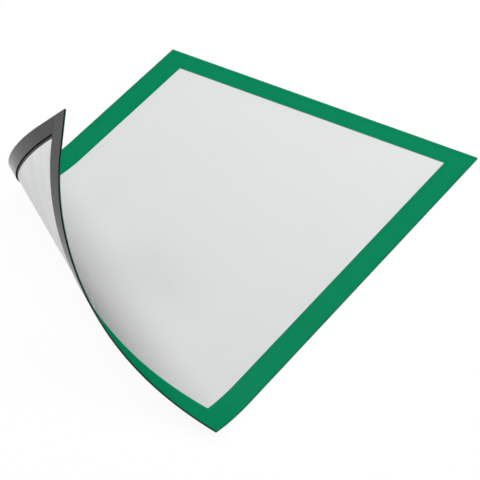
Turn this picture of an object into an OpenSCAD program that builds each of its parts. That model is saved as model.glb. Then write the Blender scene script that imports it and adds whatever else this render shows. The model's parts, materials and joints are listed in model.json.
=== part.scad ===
// Magnetic display frame for one sheet of paper, lying face up with one corner peeled off its surface.
// It is a flexible laminate: a clear film in front, a coloured border behind it, and four strips of
// magnetic rubber taped to the border's back, which leave a shallow recess for the paper between them.
// +X runs across the frame and +Y along it. The origin is the middle of the flat frame's back, +Z up.
// The curl is made of narrow flat panels, folded along lines in the front face, which keeps its length.

/* [Paper] */
// Width of the paper that the frame holds
insert_w = 210; // [205:0.5:216]
// Length of the paper that the frame holds
insert_l = 297; // [285:0.5:305]
// Thickness of the paper
insert_t = 0.1; // [0.08:0.01:0.15]
// Room beside the paper, both sides together
side_play = 2; // [1:0.25:3]
// Room at the paper's ends, both ends together
end_play = 0.5; // [0.5:0.25:2]
// Width of paper that the border hides along each edge
border_overlap = 3; // [2:0.5:5]

/* [Magnetic strips] */
// Width of the two strips along the long sides
long_strip_w = 12; // [10:0.25:14]
// Width of the two strips along the short sides
short_strip_w = 12.75; // [11:0.25:14]
// Thickness of the magnetic rubber
strip_t = 0.8; // [0.5:0.1:1.2]
// Hairline gap where two strips butt together
butt_gap = 0.2; // [0.1:0.05:0.5]

/* [Laminate] */
// Thickness of the clear front film
film_t = 0.2; // [0.1:0.05:0.4]
// Thickness of the coloured border layer
border_t = 0.2; // [0.1:0.05:0.4]
// Thickness of the double-sided tape under the strips
tape_t = 0.1; // [0.1:0.05:0.2]
// Distance that the tape stays back from the edges of its strip
tape_inset = 0.5; // [0.25:0.25:2]
// Hairline gap between bonded layers, which keeps them apart round the bend
layer_gap = 0.005; // [0.002:0.001:0.02]

/* [Curl] */
// Angle that the peeled corner turns through
curl_angle = 120; // [60:5:130]
// Angle of the curl's fold lines to the short side, where the curl starts
ruling_angle = 34.3; // [32:0.1:37]
// Angle that the fold lines fan round by, on the way to the corner
fan_angle = 17; // [0:1:25]
// Height on the right-hand side, above its lower end, at which the curl starts
curl_start = 37.3; // [34:0.1:42]
// Length of the flat tip beyond the last fold, measured to the corner
tip_flat = 23; // [20:1:30]
// Bend radius where the curl leaves the surface, as a share of the mean radius
start_r_share = 1.58; // [1.4:0.01:1.7]
// Pull on the bend radius a third of the way round
lower_r_share = 0.22; // [0.15:0.01:0.4]
// Pull on the bend radius two thirds of the way round
upper_r_share = 0.85; // [0.7:0.01:1]
// Bend radius where the curl runs out, as a share of the mean radius
end_r_share = 1.35; // [1.2:0.01:1.5]

/* [Hidden] */
// Folds in each curled segment; the flat part and the tip take half as many
segment_folds = 6;
// Stretches in which each side of the paper follows the curl
side_steps = 24;
// Distance below which a point counts as lying on a line
on_line = 0.000001;

sheet_w = insert_w + side_play + 2 * long_strip_w;
sheet_l = insert_l + end_play + 2 * short_strip_w;
border_w = (sheet_w - insert_w) / 2 + border_overlap;
border_end_w = (sheet_l - insert_l) / 2 + border_overlap;

// Heights of the layers' back faces, from the back up
tape_z = strip_t + layer_gap;
border_z = tape_z + tape_t + layer_gap;
film_z = border_z + border_t + layer_gap;
front_z = film_z + film_t;
insert_z = border_z - layer_gap - insert_t;

// A rectangle by its low and high corners, as an outline that runs anticlockwise
function outline(low, high) = [low, [high.x, low.y], high, [low.x, high.y]];
function grown(low, high, by) = outline(low - [by, by], high + [by, by]);
// The ring between two outlines, as tiles that meet at the corners
function ring(outer, inner) = [
    for (i = [0 : len(outer) - 1])
        let (j = (i + 1) % len(outer))
        [outer[i], outer[j], inner[j], inner[i]]
];

half_sheet = [sheet_w, sheet_l] / 2;
half_window = half_sheet - [border_w, border_end_w];
half_recess = half_sheet - [long_strip_w, short_strip_w];
half_butt = half_recess + [0, -butt_gap];
sheet_outline = outline(-half_sheet, half_sheet);
window_outline = outline(-half_window, half_window);

left_strip_outline = outline([-half_sheet.x, -half_butt.y], [-half_recess.x, half_butt.y]);
right_strip_outline = outline([half_recess.x, -half_butt.y], [half_sheet.x, half_butt.y]);
bottom_strip_outline = outline(-half_sheet, [half_sheet.x, -half_recess.y]);
top_strip_outline = outline([-half_sheet.x, half_recess.y], half_sheet);
function tape_outline(strip) = grown(strip[0], strip[2], -tape_inset);

// The sheet bends at the cuts between these parts, so each layer is a separate piece in each of them.
// The first is the flat part, which runs on into the start of the curl, and the last is the tip.
PARTS = ["", "_curl_1", "_curl_2", "_curl_3", "_curl_4", "_curl_5", "_curl_6", "_curl_7", "_curl_tip"];
tip = len(PARTS) - 1;
// The last part that the right-hand strip reaches, and the first that the bottom strip reaches
right_strip_to = 1;
bottom_strip_from = 1;
function first_cut(k) = k == 0 ? -1 : (k - 0.5) * segment_folds;
function last_cut(k) = k == tip ? folds + 1 : (k + 0.5) * segment_folds;

// The curl ends at this corner of the sheet
curl_corner = -half_sheet;
curl_reach = sheet_w * sin(ruling_angle) + curl_start * cos(ruling_angle);
folds = tip * segment_folds;
fold_turn = curl_angle / folds;

function total(list, count = undef) =
    let (n = is_undef(count) ? len(list) : count)
    n <= 0 ? 0 : list[n - 1] + total(list, n - 1);

// Bend radius at a share of the turn: a smooth blend of the four named shares
function bend(share) =
    pow(1 - share, 3) * start_r_share + 3 * share * pow(1 - share, 2) * lower_r_share
    + 3 * pow(share, 2) * (1 - share) * upper_r_share + pow(share, 3) * end_r_share;

// All folds turn alike, so each takes up a length of sheet in proportion to its radius
bends = [for (i = [0 : folds - 1]) bend((i + 0.5) / folds)];
fold_lengths = [for (b = bends) b / total(bends) * (curl_reach - tip_flat)];
cut_places = [for (i = [0 : folds]) total(fold_lengths, i)];

// Lines across the flat sheet, each as a point and the direction towards the corner
function toward_corner(angle) = [-sin(angle), -cos(angle)];
function ruling(place, share) = [
    curl_corner - toward_corner(ruling_angle) * (curl_reach - place),
    toward_corner(ruling_angle + fan_angle * pow(share, 2))
];
fold_lines = [for (i = [0 : folds - 1]) ruling(cut_places[i] + fold_lengths[i] / 2, (i + 0.5) / folds)];
cut_lines = [for (i = [0 : folds]) ruling(cut_places[i], i / folds)];
// Lines that lie clear of the sheet, before and beyond every fold
before_all = ruling(-sheet_w - sheet_l, 0);
beyond_all = ruling(sheet_w + sheet_l, 0);
function past(line, p) = (p - line[0]) * line[1];

// How far a point lies from one line to the next, and how many folds lie before it
function share_between(low, high, p) =
    past(low, p) <= 0 ? 0 : past(high, p) >= 0 ? 1 : past(low, p) / (past(low, p) - past(high, p));
function folds_before(p) = total([
    for (i = [0 : folds - 1]) share_between(cut_lines[i], cut_lines[i + 1], p)
]);

// The paper rests against the right-hand strip and midway between the short strips.
// It lies loose on the outside of the bend and keeps its own length, so it draws back from the corner.
insert_low = [half_recess.x - butt_gap / 2 - insert_w, -insert_l / 2];
insert_flat = outline(insert_low, insert_low + [insert_w, insert_l]);
lag_a_fold = 2 * (front_z - insert_z - insert_t / 2) * tan(fold_turn / 2);
function drawn_back(p) =
    let (passed = folds_before(p))
    p - lag_a_fold * passed * toward_corner(ruling_angle + fan_angle * pow(passed / folds, 2));
insert_outline = [
    for (i = [0 : len(insert_flat) - 1], j = [0 : side_steps - 1])
        let (a = insert_flat[i], b = insert_flat[(i + 1) % len(insert_flat)])
        drawn_back(a + (b - a) * j / side_steps)
];

// Placing matrices: a move, and a turn about a fold line in the front face that lifts the far side
function shift(v) = [[1, 0, 0, v.x], [0, 1, 0, v.y], [0, 0, 1, v.z], [0, 0, 0, 1]];
function lift_turn(line, angle) =
    let (
        a = [line[1].y, -line[1].x],
        c = cos(angle),
        s = sin(angle),
        pivot = [line[0].x, line[0].y, front_z]
    )
    shift(pivot) * [
        [c + (1 - c) * a.x * a.x, (1 - c) * a.x * a.y, s * a.y, 0],
        [(1 - c) * a.x * a.y, c + (1 - c) * a.y * a.y, -s * a.x, 0],
        [-s * a.y, s * a.x, c, 0],
        [0, 0, 0, 1]
    ] * shift(-pivot);

// Where each flat panel of the curl is carried to; panel 0 stays on the surface
panel_frames = [
    for (
        i = 0, m = shift([0, 0, 0]);
        i <= folds;
        m = i < folds ? m * lift_turn(fold_lines[i], fold_turn) : m, i = i + 1
    ) m
];

// A point of the flat sheet carried to its place; on a fold line it lies on the mitre between two panels
function carried(frame, p, z) = let (q = frame * [p.x, p.y, z, 1]) [q.x, q.y, q.z];
function on_mitre(fold, p, z) =
    carried(panel_frames[fold] * lift_turn(fold_lines[fold], fold_turn / 2), p,
        front_z - (front_z - z) / cos(fold_turn / 2));
function is_on(fold, p) = fold >= 0 && fold < folds && abs(past(fold_lines[fold], p)) < on_line;
function placed(panel, p, z) =
    is_on(panel - 1, p) ? on_mitre(panel - 1, p, z)
    : is_on(panel, p) ? on_mitre(panel, p, z)
    : carried(panel_frames[panel], p, z);

// The part of a convex tile between two lines, worked out edge by edge.
// An edge is crossed at the same point whichever way it runs, so tiles that share it fit together.
function crossing(line, a, b) =
    let (da = past(line, a), db = past(line, b))
    da * db < 0 ? [(a * db - b * da) / (db - da)] : [];
function between(tile, low, high) = [
    for (i = [0 : len(tile) - 1])
        let (
            a = tile[i],
            b = tile[(i + 1) % len(tile)],
            found = concat(crossing(low, a, b), crossing(high, a, b)),
            swapped = len(found) == 2 && norm(found[1] - a) < norm(found[0] - a)
        )
        each concat(past(low, a) > 0 && past(high, a) < 0 ? [a] : [], swapped ? [found[1], found[0]] : found)
];

// True for an edge that another tile shares
function line_through(a, b) = [a, [b.y - a.y, a.x - b.x] / norm(b - a)];
function lies_on(line, a, b) = abs(past(line, a)) < on_line && abs(past(line, b)) < on_line;
function on_seam(tiles, own, a, b) = len([
    for (t = [0 : len(tiles) - 1], j = [0 : len(tiles[t]) - 1])
        if (t != own && lies_on(line_through(tiles[t][j], tiles[t][(j + 1) % len(tiles[t])]), a, b)) t
]) > 0;

// One layer's stretch between two cut lines, as closed shells of flat panels.
// A start below 0 or an end beyond the last cut leaves that side uncut.
module bent_layer(tiles, z, thickness, first, last) {
    start = max(first, 0);
    end = min(last, folds);
    cells = [
        for (c = [start : end], t = [0 : len(tiles) - 1])
            let (
                low = c > start ? fold_lines[c - 1] : first < 0 ? before_all : cut_lines[start],
                high = c < end ? fold_lines[c] : last > folds ? beyond_all : cut_lines[end],
                corners = between(tiles[t], low, high)
            )
            if (len(corners) > 2) [c, t, corners]
    ];
    starts = [for (k = [0 : len(cells)]) 2 * total([for (cell = cells) len(cell[2])], k)];
    points = [
        for (cell = cells, level = [z, z + thickness], p = cell[2]) placed(cell[0], p, level)
    ];
    faces = [
        for (k = [0 : len(cells) - 1])
            let (panel = cells[k][0], corners = cells[k][2], n = len(corners), o = starts[k])
            each concat(
                [[for (j = [0 : n - 1]) o + j]],
                [[for (j = [n - 1 : -1 : 0]) o + n + j]],
                [
                    for (j = [0 : n - 1])
                        let (next = (j + 1) % n, a = corners[j], b = corners[next])
                        if (!(panel > start && is_on(panel - 1, a) && is_on(panel - 1, b))
                            && !(panel < end && is_on(panel, a) && is_on(panel, b))
                            && !on_seam(tiles, cells[k][1], a, b))
                            [o + j, o + n + j, o + n + next, o + next]
                ])
    ];
    polyhedron(points, faces, convexity = 10);
}

module layer(tiles, z, thickness, k) {
    bent_layer(tiles, z, thickness, first_cut(k), last_cut(k));
}

// Clear film over the whole front
module front_film(k) {
    color([0.86, 0.88, 0.87, 0.4]) layer([sheet_outline], film_z, film_t, k);
}

// Coloured border: a thin layer that frames the window
module colour_border(k) {
    color([0.04, 0.53, 0.35]) layer(ring(sheet_outline, window_outline), border_z, border_t, k);
}

// Blank sheet of paper in the recess between the strips
module insert_sheet(k) {
    color([0.93, 0.93, 0.92]) layer([insert_outline], insert_z, insert_t, k);
}

// Double-sided tape that bonds each strip to the border's back
module strip_tape(k) {
    color([0.82, 0.8, 0.7]) {
        layer([tape_outline(left_strip_outline)], tape_z, tape_t, k);
        if (k == 0) layer([tape_outline(top_strip_outline)], tape_z, tape_t, k);
        if (k <= right_strip_to) layer([tape_outline(right_strip_outline)], tape_z, tape_t, k);
        if (k >= bottom_strip_from) layer([tape_outline(bottom_strip_outline)], tape_z, tape_t, k);
    }
}

// Magnetic rubber strips; the two short ones run right through, and the long ones butt between them
module rubber_colour() {
    color([0.3, 0.3, 0.31]) children();
}

module left_magnet_strip(k) {
    rubber_colour() layer([left_strip_outline], 0, strip_t, k);
}

module right_magnet_strip(k) {
    rubber_colour() layer([right_strip_outline], 0, strip_t, k);
}

module bottom_magnet_strip(k) {
    rubber_colour() layer([bottom_strip_outline], 0, strip_t, k);
}

module top_magnet_strip() {
    rubber_colour()
        linear_extrude(strip_t)
            polygon(top_strip_outline);
}

function nodes_of(piece, from = 0, to = tip) = [for (k = [from : to]) str(piece, PARTS[k])];

for (k = [0 : tip]) {
    front_film(k);
    colour_border(k);
    insert_sheet(k);
    strip_tape(k);
    left_magnet_strip(k);
}
for (k = [0 : right_strip_to])
    right_magnet_strip(k);
for (k = [bottom_strip_from : tip])
    bottom_magnet_strip(k);
top_magnet_strip();
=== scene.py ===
"""Looks of the magnetic display frame: its smooth layers, their materials, the light and the camera.

Every layer of the laminate is rebuilt from the same folding formula as the solids, with finer steps.
A layer is one piece on the flat part and one for the curl's stretch round each joint.
Lengths are in millimetres until a mesh is made.
"""

import json
import math

import bmesh
import bpy
import numpy as np
from mathutils import Matrix, Vector


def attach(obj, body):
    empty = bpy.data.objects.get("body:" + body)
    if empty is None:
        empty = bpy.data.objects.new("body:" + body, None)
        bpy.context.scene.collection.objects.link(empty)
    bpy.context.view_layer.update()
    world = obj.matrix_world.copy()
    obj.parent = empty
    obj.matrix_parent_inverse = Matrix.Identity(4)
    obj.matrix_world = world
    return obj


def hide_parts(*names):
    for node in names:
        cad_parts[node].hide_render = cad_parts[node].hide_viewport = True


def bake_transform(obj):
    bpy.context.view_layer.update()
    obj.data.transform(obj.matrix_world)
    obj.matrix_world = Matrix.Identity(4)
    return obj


MM = 0.001

# Paper, strips and laminate
INSERT_W, INSERT_L, INSERT_T = 210, 297, 0.1
SIDE_PLAY, END_PLAY = 2, 0.5
BORDER_OVERLAP = 3
LONG_STRIP_W, SHORT_STRIP_W, STRIP_T = 12, 12.75, 0.8
BUTT_GAP = 0.2
FILM_T, BORDER_T, TAPE_T = 0.2, 0.2, 0.1
TAPE_INSET = 0.5
LAYER_GAP = 0.005

SHEET_W = INSERT_W + SIDE_PLAY + 2 * LONG_STRIP_W
SHEET_L = INSERT_L + END_PLAY + 2 * SHORT_STRIP_W
HALF_SHEET = np.array([SHEET_W, SHEET_L]) / 2
HALF_WINDOW = np.array([INSERT_W, INSERT_L]) / 2 - BORDER_OVERLAP
HALF_RECESS = HALF_SHEET - [LONG_STRIP_W, SHORT_STRIP_W]
TAPE_Z = STRIP_T + LAYER_GAP
BORDER_Z = TAPE_Z + TAPE_T + LAYER_GAP
FILM_Z = BORDER_Z + BORDER_T + LAYER_GAP
FRONT_Z = FILM_Z + FILM_T
INSERT_Z = BORDER_Z - LAYER_GAP - INSERT_T

# The curl, as in the solids
CURL_ANGLE = 120
RULING_ANGLE = 34.3
FAN_ANGLE = 17
CURL_START = 37.3
TIP_FLAT = 23
RADIUS_SHARES = (1.58, 0.22, 0.85, 1.35)
BODIES = ["flat_sheet", *(f"curl_{k}" for k in range(1, 8)), "curl_tip"]
BENDS = len(BODIES) - 1

# Fineness of the meshes
STEPS_A_BEND = 12
STEPS = BENDS * STEPS_A_BEND
CROSS_STEP = 8
PAPER_SIDE_STEPS = 48
SAME_PLACE = 1e-5
PLACE_DIGITS = 4
SHARP_ANGLE = 30


# Folding the flat sheet round the curl
def toward_corner(degrees):
    """A direction on the flat sheet, turned by that much from -Y towards -X."""
    angle = math.radians(degrees)
    return np.array([-math.sin(angle), -math.cos(angle)])


CURL_CORNER = -HALF_SHEET
CURL_REACH = -np.array([SHEET_W, CURL_START]) @ toward_corner(RULING_ANGLE)


def ruling_direction(share):
    """The direction square to the curl's line at a share of the way round."""
    return toward_corner(RULING_ANGLE + FAN_ANGLE * share**2)


def ruling(place, share):
    """A line across the flat sheet, as a point and the direction towards the corner."""
    point = CURL_CORNER - toward_corner(RULING_ANGLE) * (CURL_REACH - place)
    return point, ruling_direction(share)


def past(line, points):
    """How far points lie past a line, towards the corner."""
    return (points - line[0]) @ line[1]


def turn_matrix(axis, angle, pivot):
    """A turn about an axis through a pivot."""
    return Matrix.Translation(pivot) @ Matrix.Rotation(angle, 4, axis) @ Matrix.Translation(-pivot)


def fold_curl():
    """The lines that the mesh is cut at, and the frame that carries the sheet at each of them."""
    share = (np.arange(STEPS) + 0.5) / STEPS
    start, lower, upper, end = RADIUS_SHARES
    radius = (
        (1 - share) ** 3 * start
        + 3 * share * (1 - share) ** 2 * lower
        + 3 * share**2 * (1 - share) * upper
        + share**3 * end
    )
    lengths = radius / radius.sum() * (CURL_REACH - TIP_FLAT)
    places = np.concatenate([[0], np.cumsum(lengths)])
    lines = [ruling(place, i / STEPS) for i, place in enumerate(places)]
    frames = [Matrix.Identity(4)]
    for i in range(STEPS):
        point, toward = ruling(places[i] + lengths[i] / 2, share[i])
        axis = Vector((toward[1], -toward[0], 0))
        pivot = Vector((point[0], point[1], FRONT_Z))
        frames.append(frames[-1] @ turn_matrix(axis, math.radians(CURL_ANGLE / STEPS), pivot))
    return lines, np.array(frames)


LINES, FRAMES = fold_curl()
SEAMS = LINES[::STEPS_A_BEND]


def carried(step, flat, height):
    """Flat points at a height, carried by the frames of those steps."""
    full = np.column_stack([flat, height, np.ones(len(flat))])
    return np.einsum("nij,nj->ni", FRAMES[step], full)[:, :3]


def locate(flat):
    """The step that each flat point lies in, and its distances to the step's first and last line."""
    passed = np.array([past(line, flat) for line in LINES])
    step = np.clip((passed > 0).sum(0) - 1, 0, STEPS - 1)
    each = np.arange(len(flat))
    return step, passed[step, each], -passed[step + 1, each]


def step_share(back, ahead):
    """How far through its step a point lies, from its distances to the step's two lines."""
    return np.clip(back / (back + ahead), 0, 1)


def curled(flat, height):
    """Points of the flat sheet, at a height, carried round the curl."""
    height = np.broadcast_to(height, len(flat))
    before, back, ahead = locate(flat)
    share = step_share(back, ahead)[:, None]
    normal = np.array([line[1] for line in LINES])
    toward = normal[before] + normal[before + 1]
    toward /= np.linalg.norm(toward, axis=1)[:, None]
    low = carried(before, flat - toward * back[:, None], height)
    high = carried(before + 1, flat + toward * ahead[:, None], height)
    inside = low * (1 - share) + high * share
    # A point on the curl's last line still belongs to the curl
    first, last = back <= 0, ahead < 0
    inside[first] = carried(np.zeros(first.sum(), int), flat[first], height[first])
    inside[last] = carried(np.full(last.sum(), STEPS), flat[last], height[last])
    return inside


def drawn_back(flat):
    """Flat points of the loose paper, which goes round the outside of the bend and so draws back."""
    step, back, ahead = locate(flat)
    turned = (step + step_share(back, ahead)) / STEPS
    lag = (FRONT_Z - INSERT_Z - INSERT_T / 2) * math.radians(CURL_ANGLE) * turned
    toward = np.array([ruling_direction(share) for share in turned])
    return flat - lag[:, None] * toward


# Outlines and tiles on the flat sheet
def outline(low, high):
    """The corners of a rectangle, anticlockwise from its lowest."""
    return [(low[0], low[1]), (high[0], low[1]), (high[0], high[1]), (low[0], high[1])]


def inset(shape, by):
    """A rectangle drawn in on every side."""
    return outline(np.add(shape[0], by), np.subtract(shape[2], by))


def ring(outer, inner):
    """The ring between two outlines, as one tile for each side."""
    count = len(outer)
    return [
        [outer[i], outer[(i + 1) % count], inner[(i + 1) % count], inner[i]]
        for i in range(count)
    ]


def along_sides(shape, steps):
    """Points along each side of an outline."""
    shape = np.array(shape)
    following = np.roll(shape, -1, axis=0)
    shares = np.arange(steps)[:, None] / steps
    return np.concatenate([a + (b - a) * shares for a, b in zip(shape, following)])


def strip_outlines():
    """The four strips on the flat sheet. The long ones stop just short of the short ones."""
    half_long = HALF_RECESS[1] - BUTT_GAP
    return {
        "left": outline((-HALF_SHEET[0], -half_long), (-HALF_RECESS[0], half_long)),
        "right": outline((HALF_RECESS[0], -half_long), (HALF_SHEET[0], half_long)),
        "bottom": outline(-HALF_SHEET, (HALF_SHEET[0], -HALF_RECESS[1])),
        "top": outline((-HALF_SHEET[0], HALF_RECESS[1]), HALF_SHEET),
    }


# Meshes
def cut_along(bm, line, faces):
    """Cuts those faces of a flat mesh along a line."""
    geometry = set(faces)
    for face in faces:
        geometry.update(face.edges, face.verts)
    point, normal = (Vector((*v, 0)) for v in line)
    bmesh.ops.bisect_plane(bm, geom=list(geometry), dist=SAME_PLACE, plane_co=point, plane_no=normal)


def is_past(line, face):
    """Whether a flat face's middle lies past a line."""
    centre = face.calc_center_median()
    return past(line, np.array([centre.x, centre.y])) > 0


def add_tile(bm, corners, tile, finish):
    """Adds a flat face, which shares its corners with the tiles before it."""
    loop = []
    for point in tile:
        key = tuple(round(float(value), PLACE_DIGITS) for value in point)
        if key not in corners:
            corners[key] = bm.verts.new((*point, 0))
        loop.append(corners[key])
    bm.faces.new(loop).material_index = finish


def flat_mesh(tiles, finishes):
    """A flat mesh of the tiles, cut along the curl's lines and across them, with each tile's finish."""
    bm = bmesh.new()
    corners = {}
    for tile, finish in zip(tiles, finishes):
        add_tile(bm, corners, tile, finish)
    for line in LINES:
        cut_along(bm, line, bm.faces[:])
    toward = toward_corner(RULING_ANGLE)
    across = np.array([toward[1], -toward[0]])
    reach = (SHEET_W + SHEET_L) / 2
    for offset in np.arange(-reach, reach, CROSS_STEP):
        curl_faces = [face for face in bm.faces if is_past(SEAMS[0], face)]
        if curl_faces:
            cut_along(bm, (across * offset, across), curl_faces)
    return bm


def shell(faces, number):
    """The polygons of a thin solid over flat faces, and the place of each one's material.

    Vertices have the given numbers on the back and follow in the same order on the front. There is a wall
    only along the layer's cut edge, so the ends at the neighbouring pieces stay open.
    """
    count = len(number)
    polygons, places = [], []
    for face in faces:
        loop = [number[v] for v in face.verts]
        front = 3 * face.material_index
        polygons += [[i + count for i in loop], loop[::-1]]
        places += [front, front + 1]
        for corner in face.loops:
            if len(corner.edge.link_faces) == 1:
                a, b = number[corner.vert], number[corner.link_loop_next.vert]
                polygons.append([a, b, b + count, a + count])
                places.append(front + 2)
    return polygons, places


def add_grain_map(mesh, flat):
    """A map of where each vertex lies on the flat sheet, for the materials' grain."""
    corners = np.zeros(len(mesh.loops), int)
    mesh.loops.foreach_get("vertex_index", corners)
    grain_map = mesh.uv_layers.new(name=GRAIN_MAP)
    grain_map.uv.foreach_set("vector", (flat / GRAIN_UNIT)[corners].ravel())


def make_piece(name, faces, z, thickness, materials):
    """One layer's stretch of the sheet as a thin solid.

    Each finish has three of the materials: for its front, its back and its cut edge.
    """
    verts = sorted({v for face in faces for v in face.verts}, key=lambda v: v.index)
    flat = np.array([v.co[:2] for v in verts])
    points = np.concatenate([curled(flat, z), curled(flat, z + thickness)])
    polygons, places = shell(faces, {v: i for i, v in enumerate(verts)})
    mesh = bpy.data.meshes.new(name)
    mesh.from_pydata((points * MM).tolist(), [], polygons)
    for material in materials:
        mesh.materials.append(material)
    mesh.polygons.foreach_set("material_index", places)
    mesh.polygons.foreach_set("use_smooth", [True] * len(polygons))
    mesh.set_sharp_from_angle(angle=math.radians(SHARP_ANGLE))
    add_grain_map(mesh, np.concatenate([flat, flat]))
    piece = bpy.data.objects.new(name, mesh)
    bpy.context.scene.collection.objects.link(piece)
    return piece


# Pieces on their bodies
def line_ends(line):
    """Where a line crosses the sheet's edges."""
    shape = [np.array(p) for p in outline(-HALF_SHEET, HALF_SHEET)]
    ends = []
    for a, b in zip(shape, shape[1:] + shape[:1]):
        da, db = past(line, a), past(line, b)
        if da * db < 0:
            ends.append(a + (b - a) * da / (da - db))
    return np.array(ends)


def seam_points(index):
    """Both faces of the sheet at both ends of a seam, in metres."""
    ends = line_ends(SEAMS[index])
    return np.concatenate([curled(ends, 0), curled(ends, FRONT_Z)]) * MM


def bend_span(bend):
    """The points between which the sheet bends round a joint, from seam to seam and square to it."""
    joint = frame["joints"][bend - 1]
    axis, hinge = np.array(joint["axis"]), np.array(joint["pos_m"])
    before, after = seam_points(bend - 1), seam_points(bend)
    chord = after.mean(0) - before.mean(0)
    toward = chord - (chord @ axis) * axis
    toward /= np.linalg.norm(toward)
    start = ((before - hinge) @ toward).max()
    end = ((after - hinge) @ toward).min()
    return hinge + toward * start, hinge + toward * end


def bend_of(face):
    """The number of the joint whose bend a flat face belongs to, or 0 on the flat part."""
    return min(sum(is_past(seam, face) for seam in SEAMS), BENDS)


def make_layer(name, node, tiles, z, thickness, materials, finishes=None):
    """All pieces of one layer, standing for the layer's CAD nodes. The flat piece is tied to the flat
    body; the curl's pieces stay where they are made.
    """
    bm = flat_mesh(tiles, finishes or [0] * len(tiles))
    bm.verts.index_update()
    bend_faces = {}
    for face in bm.faces:
        bend_faces.setdefault(bend_of(face), []).append(face)
    for bend in sorted(bend_faces):
        title = f"{name}_bend_{bend}" if bend else name
        piece = make_piece(title, bend_faces[bend], z, thickness, materials)
        if bend:
            start, end = bend_span(bend)
            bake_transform(piece)
        else:
            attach(piece, BODIES[0])
    bm.free()
    for part, body in enumerate(BODIES):
        replaced = f"{node}_{body}" if part else node
        if replaced in frame["nodes"]:
            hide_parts(replaced)


# Materials, whose grain, and the painted shade streaks on the paper's back, are noise on the flat sheet
# in units of 100 mm
GRAIN_MAP, GRAIN_UNIT = "sheet", 100
NOISE_DETAIL = 4
NOISE_LOW, NOISE_HIGH = 0.3, 0.7
EVEN = (1, 1, 1)
LENGTHWISE = (6, 1, 1)
CROSSWISE = (1, 6, 1)
# Stretch of the painted shade streaks on the paper's back
SHADE_STREAKS = (1, 4, 1)
FILM_GRAIN = 220
FILM_ROUGHNESS = (0.26, 0.36)
FILM_BUMP = 0.003


def grey(level):
    """A grey as the shader takes it."""
    return (level, level, level, 1)


def srgb(red, green, blue):
    """A colour given as it shows, 0 to 255, as the shader's linear values."""
    def linear(value):
        value /= 255
        return value / 12.92 if value <= 0.04045 else ((value + 0.055) / 1.055) ** 2.4

    return (linear(red), linear(green), linear(blue))


def new_material(name):
    """A material with a plain principled shader, and its node tree."""
    material = bpy.data.materials.new(name)
    material.use_nodes = True
    return material, material.node_tree


def add_node(tree, kind, **inputs):
    """A new node with those values on its inputs."""
    node = tree.nodes.new(kind)
    for name, value in inputs.items():
        node.inputs[name].default_value = value
    return node


def mixed(tree, first, second, output):
    """Joins two shaders to an output, and gives the socket for the second one's share."""
    mix = tree.nodes.new("ShaderNodeMixShader")
    tree.links.new(first, mix.inputs[1])
    tree.links.new(second, mix.inputs[2])
    tree.links.new(mix.outputs["Shader"], tree.nodes[output].inputs["Surface"])
    return mix.inputs["Fac"]


def sheet_noise(tree, scale, stretch=EVEN, turn=0):
    """Noise on the flat sheet, finer with a higher scale, stretched and turned by degrees."""
    place = tree.nodes.new("ShaderNodeUVMap")
    place.uv_map = GRAIN_MAP
    turned = (0, 0, math.radians(turn))
    mapping = add_node(tree, "ShaderNodeMapping", Scale=stretch, Rotation=turned)
    noise = add_node(tree, "ShaderNodeTexNoise", Scale=scale, Detail=NOISE_DETAIL)
    tree.links.new(place.outputs["UV"], mapping.inputs["Vector"])
    tree.links.new(mapping.outputs["Vector"], noise.inputs["Vector"])
    return noise


def varied(tree, noise, socket, low, high):
    """Drives a socket from noise between two values or colours."""
    ramp = tree.nodes.new("ShaderNodeValToRGB")
    for element, place, value in zip(ramp.color_ramp.elements, (NOISE_LOW, NOISE_HIGH), (low, high)):
        element.position = place
        element.color = (*value, 1) if isinstance(value, tuple) else grey(value)
    tree.links.new(noise.outputs["Fac"], ramp.inputs["Fac"])
    tree.links.new(ramp.outputs["Color"], socket)


def add_bump(tree, shader, noise, height):
    """A bump from noise on a shader, of that height in millimetres."""
    bump = add_node(tree, "ShaderNodeBump", Distance=height * MM)
    tree.links.new(noise.outputs["Fac"], bump.inputs["Height"])
    tree.links.new(bump.outputs["Normal"], shader.inputs["Normal"])


def sheet_material(name, dark, light, roughness, specular, broad, fine, stretch=EVEN, turn=0, bump=0.01):
    """An opaque layer: broad noise varies its colour, and fine noise its roughness and bump."""
    material, tree = new_material(name)
    shader = tree.nodes["Principled BSDF"]
    shader.inputs["Specular IOR Level"].default_value = specular
    broad_noise = sheet_noise(tree, broad, stretch, turn)
    fine_noise = sheet_noise(tree, fine, stretch, turn)
    varied(tree, broad_noise, shader.inputs["Base Color"], dark, light)
    varied(tree, fine_noise, shader.inputs["Roughness"], *roughness)
    add_bump(tree, shader, fine_noise, bump)
    return material


def film_material(name, clarity, gloss_level, share=None, ior=None):
    """Clear film. It reflects a set share, or an IOR's Fresnel share, and lets the rest through."""
    material, tree = new_material(name)
    tree.nodes.remove(tree.nodes["Principled BSDF"])
    clear = add_node(tree, "ShaderNodeBsdfTransparent", Color=grey(clarity))
    gloss = add_node(tree, "ShaderNodeBsdfGlossy", Color=grey(gloss_level))
    fine_noise = sheet_noise(tree, FILM_GRAIN)
    varied(tree, fine_noise, gloss.inputs["Roughness"], *FILM_ROUGHNESS)
    add_bump(tree, gloss, fine_noise, FILM_BUMP)
    reflected = mixed(tree, clear.outputs["BSDF"], gloss.outputs["BSDF"], "Material Output")
    if ior:
        fresnel = add_node(tree, "ShaderNodeFresnel", IOR=ior)
        tree.links.new(fresnel.outputs["Fac"], reflected)
    else:
        reflected.default_value = share
    return material


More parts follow.
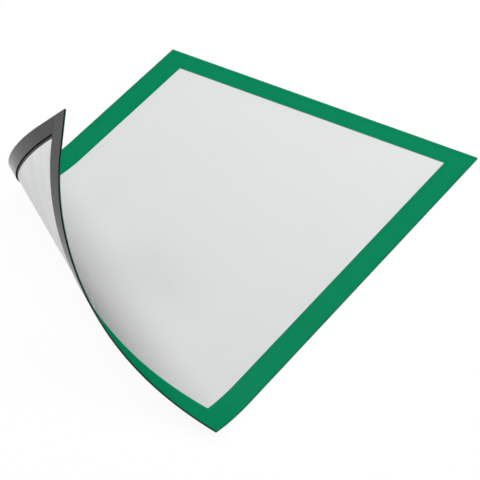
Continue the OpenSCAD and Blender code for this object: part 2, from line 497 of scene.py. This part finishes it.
def make_materials():
    """Every layer's materials. Each opaque one has its darkest and lightest colour first."""
    return {
        "bonded film": film_material("film over the border", clarity=0.99, gloss_level=1, share=0.002),
        "loose film": film_material("film over the paper", clarity=0.95, gloss_level=0.45, ior=1.5),
        "green": sheet_material(
            "green border", srgb(0, 124, 81), srgb(1, 127, 84),
            roughness=(0.42, 0.5), specular=0, broad=3, fine=160,
        ),
        "green edge": sheet_material(
            "green border's edge", srgb(0, 118, 77), srgb(0, 124, 81),
            roughness=(0.5, 0.6), specular=0.1, broad=6, fine=160,
        ),
        "border back": sheet_material(
            "border's back", srgb(40, 41, 42), srgb(47, 48, 49),
            roughness=(0.4, 0.5), specular=0.4, broad=4, fine=160,
        ),
        "paper": sheet_material(
            "paper", srgb(241, 242, 242), srgb(242, 243, 243),
            roughness=(0.7, 0.85), specular=0.2, broad=2.2, fine=130, bump=0.02,
        ),
        # The paper's back: its colour streaks along the curl's lines are painted shade of the paper's
        # ripples in the bend.
        "paper back": sheet_material(
            "paper's back with painted shade streaks", srgb(237, 238, 238), srgb(245, 246, 246), roughness=(0.7, 0.85),
            specular=0.2, broad=2.2, fine=130, stretch=SHADE_STREAKS, turn=RULING_ANGLE, bump=0.02,
        ),
        # One rubber in two copies: the short strips' copy is painted lighter and the long strips' darker,
        # as painted sheen that differs with the strips' direction.
        "long rubber with painted dim sheen": sheet_material(
            "long strips' rubber with painted dim sheen", srgb(8, 13, 14), srgb(15, 20, 21),
            roughness=(0.14, 0.2), specular=0.22, broad=8, fine=120, stretch=LENGTHWISE,
        ),
        "short rubber with painted bright sheen": sheet_material(
            "short strips' rubber with painted bright sheen", srgb(77, 78, 80), srgb(83, 84, 86),
            roughness=(0.15, 0.22), specular=0.06, broad=8, fine=120, stretch=CROSSWISE,
        ),
        # The rubber's cut edge is black, and is made near black as painted shade of the gap beside the
        # strips.
        "rubber edge with painted shade": sheet_material(
            "rubber's cut edge with painted shade", srgb(3, 3, 4), srgb(6, 6, 7),
            roughness=(0.6, 0.75), specular=0.05, broad=12, fine=200, bump=0.02,
        ),
        "tape": sheet_material(
            "tape", srgb(226, 220, 200), srgb(232, 227, 208),
            roughness=(0.4, 0.5), specular=0.3, broad=6, fine=140,
        ),
    }


# Layers
def build_film(materials, border, window):
    """The film over the whole front, loose over the window.

    Its cut edge is green, as it shows the border that it is bonded to.
    """
    bonded, loose, edge = (materials[name] for name in ("bonded film", "loose film", "green edge"))
    make_layer(
        "clear_film", "front_film", [*border, window], FILM_Z, FILM_T,
        [bonded, bonded, edge, loose, bonded, edge], finishes=[0] * len(border) + [1],
    )


def build_border(materials, border):
    """The green border behind the film."""
    finish = [materials[name] for name in ("green", "border back", "green edge")]
    make_layer("green_border", "colour_border", border, BORDER_Z, BORDER_T, finish)


def build_paper(materials):
    """The sheet of paper, close to the right strip and drawn back round the curl."""
    low = np.array([HALF_RECESS[0] - BUTT_GAP / 2 - INSERT_W, -INSERT_L / 2])
    shape = outline(low, low + [INSERT_W, INSERT_L])
    tile = drawn_back(along_sides(shape, PAPER_SIDE_STEPS))
    finish = [materials[name] for name in ("paper", "paper back", "paper")]
    make_layer("paper", "insert_sheet", [tile], INSERT_Z, INSERT_T, finish)


def build_tape(materials, strips):
    """The tape between each strip and the border."""
    tiles = [inset(shape, TAPE_INSET) for shape in strips.values()]
    make_layer("adhesive_tape", "strip_tape", tiles, TAPE_Z, TAPE_T, [materials["tape"]] * 3)


def build_strips(materials, strips):
    """The magnetic strips. Their backs, which show on the peeled corner, are one rubber in two colours,
    painted lighter on the short strips and darker on the long ones as painted sheen.
    """
    edge = materials["rubber edge with painted shade"]
    for side, shape in strips.items():
        rubber = materials["long rubber with painted dim sheen" if side in ("left", "right") else "short rubber with painted bright sheen"]
        finish = [edge, rubber, edge]
        make_layer(
            f"{side}_magnet", f"{side}_magnet_strip", [shape], 0, STRIP_T, finish
        )


def build_layers(materials):
    """All layers, from the front to the back."""
    window = outline(-HALF_WINDOW, HALF_WINDOW)
    border = ring(outline(-HALF_SHEET, HALF_SHEET), window)
    strips = strip_outlines()
    build_film(materials, border, window)
    build_border(materials, border)
    build_paper(materials)
    build_tape(materials, strips)
    build_strips(materials, strips)


# Studio: softboxes around the frame, by azimuth and elevation in degrees, distance in metres and watts
LAMPS = {
    "back": (65, 58, 1.2, 6.75),
    "back left": (135, 58, 2.4, 6),
    "left": (195, 58, 2.4, 18.5),
    "front": (305, 55, 2.4, 13.5),
    "top": (0, 90, 2.4, 4.5),
}
LAMP_SPREAD = 2 / 3
AMBIENT = 0.2

# Floor, in metres
FLOOR_HALF, FLOOR_Z = 12, -0.0004
FLOOR_LEVEL, FLOOR_ROUGHNESS = 0.92, 0.9
FLOOR_PLAIN_SHARE = 0.93

# The photograph's view, from a fit of the frame's corners, edges and curl
VIEW_RIGHT = Vector((0.851699, 0.524032, 0.000408))
VIEW_DOWN = Vector((0.32394, -0.52588, -0.786456))
VIEW_FORWARD = Vector((-0.411913, 0.669956, -0.617646))
CAMERA_PLACE = Vector((0.896362, -1.400611, 1.298116))
SENSOR_W, LENS = 36, 248.916
CLIP_START, CLIP_END = 0.05, 50


def add_softbox(name, azimuth, elevation, distance, power):
    """A round softbox that faces the frame and looks equally large at any distance."""
    light = bpy.data.lights.new(name, "AREA")
    light.shape = "DISK"
    light.size = LAMP_SPREAD * distance
    light.energy = power
    lamp = bpy.data.objects.new(name, light)
    around, up = math.radians(azimuth), math.radians(elevation)
    toward = Vector((math.cos(up) * math.cos(around), math.cos(up) * math.sin(around), math.sin(up)))
    lamp.location = toward * distance
    lamp.rotation_euler = (-toward).to_track_quat("-Z", "Y").to_euler()
    bpy.context.scene.collection.objects.link(lamp)


def seen_directly(tree):
    """1 for what the camera sees, straight, in gloss or through a clear surface."""
    path = tree.nodes.new("ShaderNodeLightPath")
    total = path.outputs["Is Camera Ray"]
    for name in ("Is Glossy Ray", "Is Transmission Ray"):
        either = tree.nodes.new("ShaderNodeMath")
        either.operation = "MAXIMUM"
        tree.links.new(total, either.inputs[0])
        tree.links.new(path.outputs[name], either.inputs[1])
        total = either.outputs[0]
    return total


def make_world():
    """A dim ambient light that shows as plain white where it is seen."""
    world = bpy.data.worlds.new("studio")
    world.use_nodes = True
    bpy.context.scene.world = world
    tree = world.node_tree
    ambient = tree.nodes["Background"]
    ambient.inputs["Color"].default_value = grey(1)
    ambient.inputs["Strength"].default_value = AMBIENT
    white = add_node(tree, "ShaderNodeBackground", Color=grey(1), Strength=1)
    seen_share = mixed(tree, ambient.outputs["Background"], white.outputs["Background"], "World Output")
    tree.links.new(seen_directly(tree), seen_share)


def floor_material():
    """A pale floor that shows mostly as plain white, so that the shadow on it is faint."""
    material, tree = new_material("floor")
    shader = tree.nodes["Principled BSDF"]
    shader.inputs["Base Color"].default_value = grey(FLOOR_LEVEL)
    shader.inputs["Roughness"].default_value = FLOOR_ROUGHNESS
    shader.inputs["Specular IOR Level"].default_value = 0
    white = tree.nodes.new("ShaderNodeEmission")
    share = tree.nodes.new("ShaderNodeMath")
    share.operation = "MULTIPLY"
    share.inputs[1].default_value = FLOOR_PLAIN_SHARE
    seen_share = mixed(tree, shader.outputs["BSDF"], white.outputs["Emission"], "Material Output")
    tree.links.new(seen_directly(tree), share.inputs[0])
    tree.links.new(share.outputs[0], seen_share)
    return material


def make_floor():
    """A square floor just below the frame."""
    mesh = bpy.data.meshes.new("floor")
    corners = outline((-FLOOR_HALF, -FLOOR_HALF), (FLOOR_HALF, FLOOR_HALF))
    mesh.from_pydata([(x, y, FLOOR_Z) for x, y in corners], [], [[0, 1, 2, 3]])
    mesh.materials.append(floor_material())
    floor = bpy.data.objects.new("floor", mesh)
    bpy.context.scene.collection.objects.link(floor)


def make_camera():
    """The scene's camera, at the photograph's view."""
    data = bpy.data.cameras.new("camera")
    data.sensor_width = SENSOR_W
    data.lens = LENS
    data.clip_start, data.clip_end = CLIP_START, CLIP_END
    camera = bpy.data.objects.new("camera", data)
    turn = Matrix((VIEW_RIGHT, -VIEW_DOWN, -VIEW_FORWARD)).transposed()
    camera.matrix_world = Matrix.Translation(CAMERA_PLACE) @ turn.to_4x4()
    bpy.context.scene.collection.objects.link(camera)
    bpy.context.scene.camera = camera


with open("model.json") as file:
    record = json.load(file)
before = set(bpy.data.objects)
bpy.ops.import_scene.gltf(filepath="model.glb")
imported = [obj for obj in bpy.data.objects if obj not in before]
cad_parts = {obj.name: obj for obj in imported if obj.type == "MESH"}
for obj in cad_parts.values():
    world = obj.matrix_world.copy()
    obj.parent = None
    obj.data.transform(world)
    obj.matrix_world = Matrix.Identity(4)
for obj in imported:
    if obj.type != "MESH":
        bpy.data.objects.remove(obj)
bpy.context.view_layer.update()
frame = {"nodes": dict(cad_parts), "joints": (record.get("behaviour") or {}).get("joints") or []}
build_layers(make_materials())
make_world()
make_floor()
for lamp_name, lamp_values in LAMPS.items():
    add_softbox(lamp_name, *lamp_values)
make_camera()
bpy.context.scene.view_settings.view_transform = "Standard"
